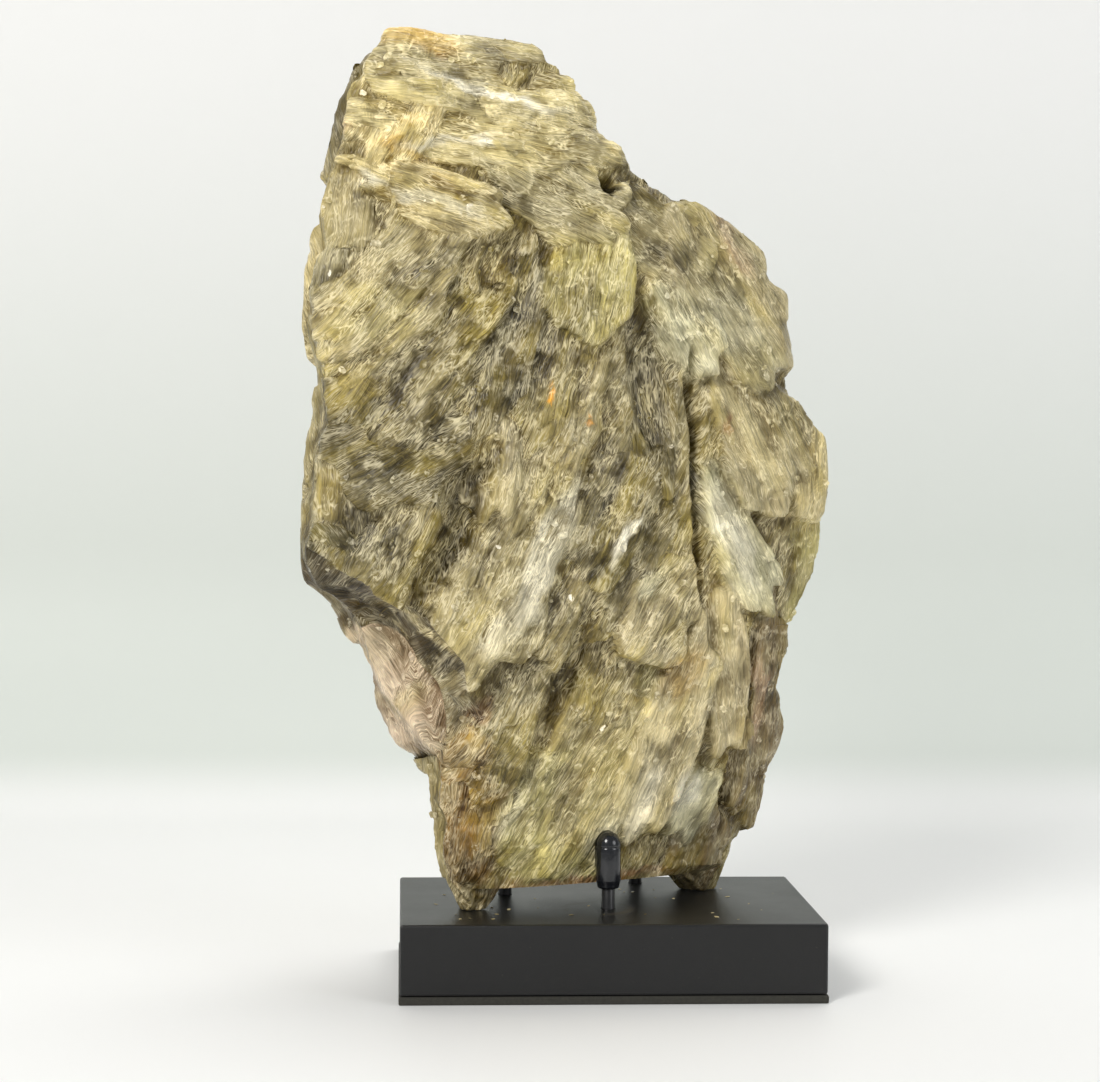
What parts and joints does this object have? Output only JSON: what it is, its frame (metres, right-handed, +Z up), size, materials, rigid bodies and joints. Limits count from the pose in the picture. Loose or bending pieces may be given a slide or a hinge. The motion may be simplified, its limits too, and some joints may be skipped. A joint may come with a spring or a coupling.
{
  "type": "mica crystal specimen on a display stand",
  "caption": "Tall flaky mica crystal standing upright on a flat black display block, held between rods with soft sleeves.",
  "frame": {"origin": "middle of the stand's underside, on the surface it rests on", "axes": "+Z up, +X to the viewer's right along the block's long side, +Y away from the viewer; the specimen's broad face looks towards -Y"},
  "size_m": [0.1982, 0.1055, 0.3471],
  "materials": {
    "mica": "pearly golden olive sheets with pale edges",
    "block_paint": "black satin, finely stippled",
    "foot_pad": "matt black foam",
    "rod_enamel": "black enamel",
    "sleeve_rubber": "glossy dipped black rubber"
  },
  "bodies": {
    "root": {"mica_crystal": "mica", "base_block": "block_paint", "base_pad": "foot_pad", "front_rod": "rod_enamel", "front_sleeve": "sleeve_rubber", "back_left_rod": "rod_enamel", "back_left_sleeve": "sleeve_rubber", "back_right_rod": "rod_enamel", "back_right_sleeve": "sleeve_rubber"}
  },
  "joints": []
}
